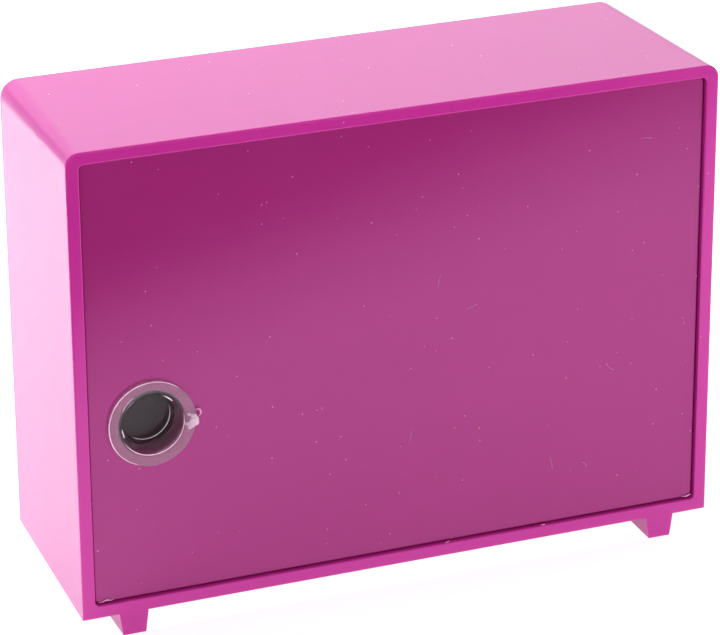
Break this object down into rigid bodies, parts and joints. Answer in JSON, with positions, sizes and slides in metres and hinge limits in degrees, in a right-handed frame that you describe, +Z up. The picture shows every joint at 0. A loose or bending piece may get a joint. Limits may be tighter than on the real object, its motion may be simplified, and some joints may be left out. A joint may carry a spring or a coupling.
{
  "type": "toy safe coin bank",
  "caption": "Small moulded toy safe that keeps coins, with a hinged door, a turning dial, a handle that drives a bolt, and a clear stopper in its inset rear panel.",
  "frame": {"origin": "middle of the overall footprint at the underside of the foot rails", "axes": "+Z up, the door faces -Y, the inset rear panel with its stopper faces +Y, +X is to the right when the door is seen from the front"},
  "size_m": [0.14, 0.0618, 0.106],
  "materials": {
    "shell_plastic": "glossy injection-moulded magenta, straight from a polished mould",
    "panel_plastic": "glossy injection-moulded magenta, polished flat",
    "door_plastic": "glossy injection-moulded magenta",
    "dial_plastic": "glossy black with printed white marks",
    "plated_plastic": "bright vacuum-plated silver on plastic",
    "black_plastic": "matt black acetal",
    "white_plastic": "natural white acetal",
    "clear_plastic": "clear flexible plastic, glossy",
    "steel": "bright zinc-plated steel"
  },
  "bodies": {
    "housing": {"housing_shell": "shell_plastic", "rear_panel": "panel_plastic", "hinge_pins": "steel"},
    "door": {"door_panel": "door_plastic", "lock_cover": "black_plastic", "cover_screws": "steel", "index_ring": "plated_plastic", "handle_ring": "plated_plastic", "click_spring": "steel", "spring_screw": "steel"},
    "dial": {"dial": "dial_plastic", "dial_cap": "plated_plastic", "dial_washer": "white_plastic", "lock_disc": "black_plastic", "disc_screw": "steel"},
    "handle": {"handle": "plated_plastic", "handle_cap": "dial_plastic", "handle_washer": "white_plastic", "pinion": "white_plastic", "pinion_screw": "steel"},
    "bolt": {"bolt": "black_plastic"},
    "stopper": {"stopper": "clear_plastic"}
  },
  "joints": [
    {"name": "door_hinge", "type": "hinge", "parent": "housing", "child": "door", "pos_m": [-0.0565, -0.02345, 0.051], "axis": [0, 0, -1], "range_deg": [0, 115]},
    {"name": "dial_turn", "type": "hinge", "parent": "door", "child": "dial", "pos_m": [-0.022, -0.02025, 0.051], "axis": [0, -1, 0], "continuous": true},
    {"name": "handle_turn", "type": "hinge", "parent": "door", "child": "handle", "pos_m": [0.022, -0.02025, 0.051], "axis": [0, -1, 0], "range_deg": [0, 90]},
    {"name": "bolt_slide", "type": "slide", "parent": "door", "child": "bolt", "axis": [1, 0, 0], "range_m": [0, 0.00707]},
    {"name": "stopper_pull", "type": "slide", "parent": "housing", "child": "stopper", "axis": [0, 1, 0], "range_m": [0, 0.015]}
  ],
  "couplings": [
    {"joint": "handle_turn", "follows": "bolt_slide", "rad_per_m": 222.22}
  ]
}
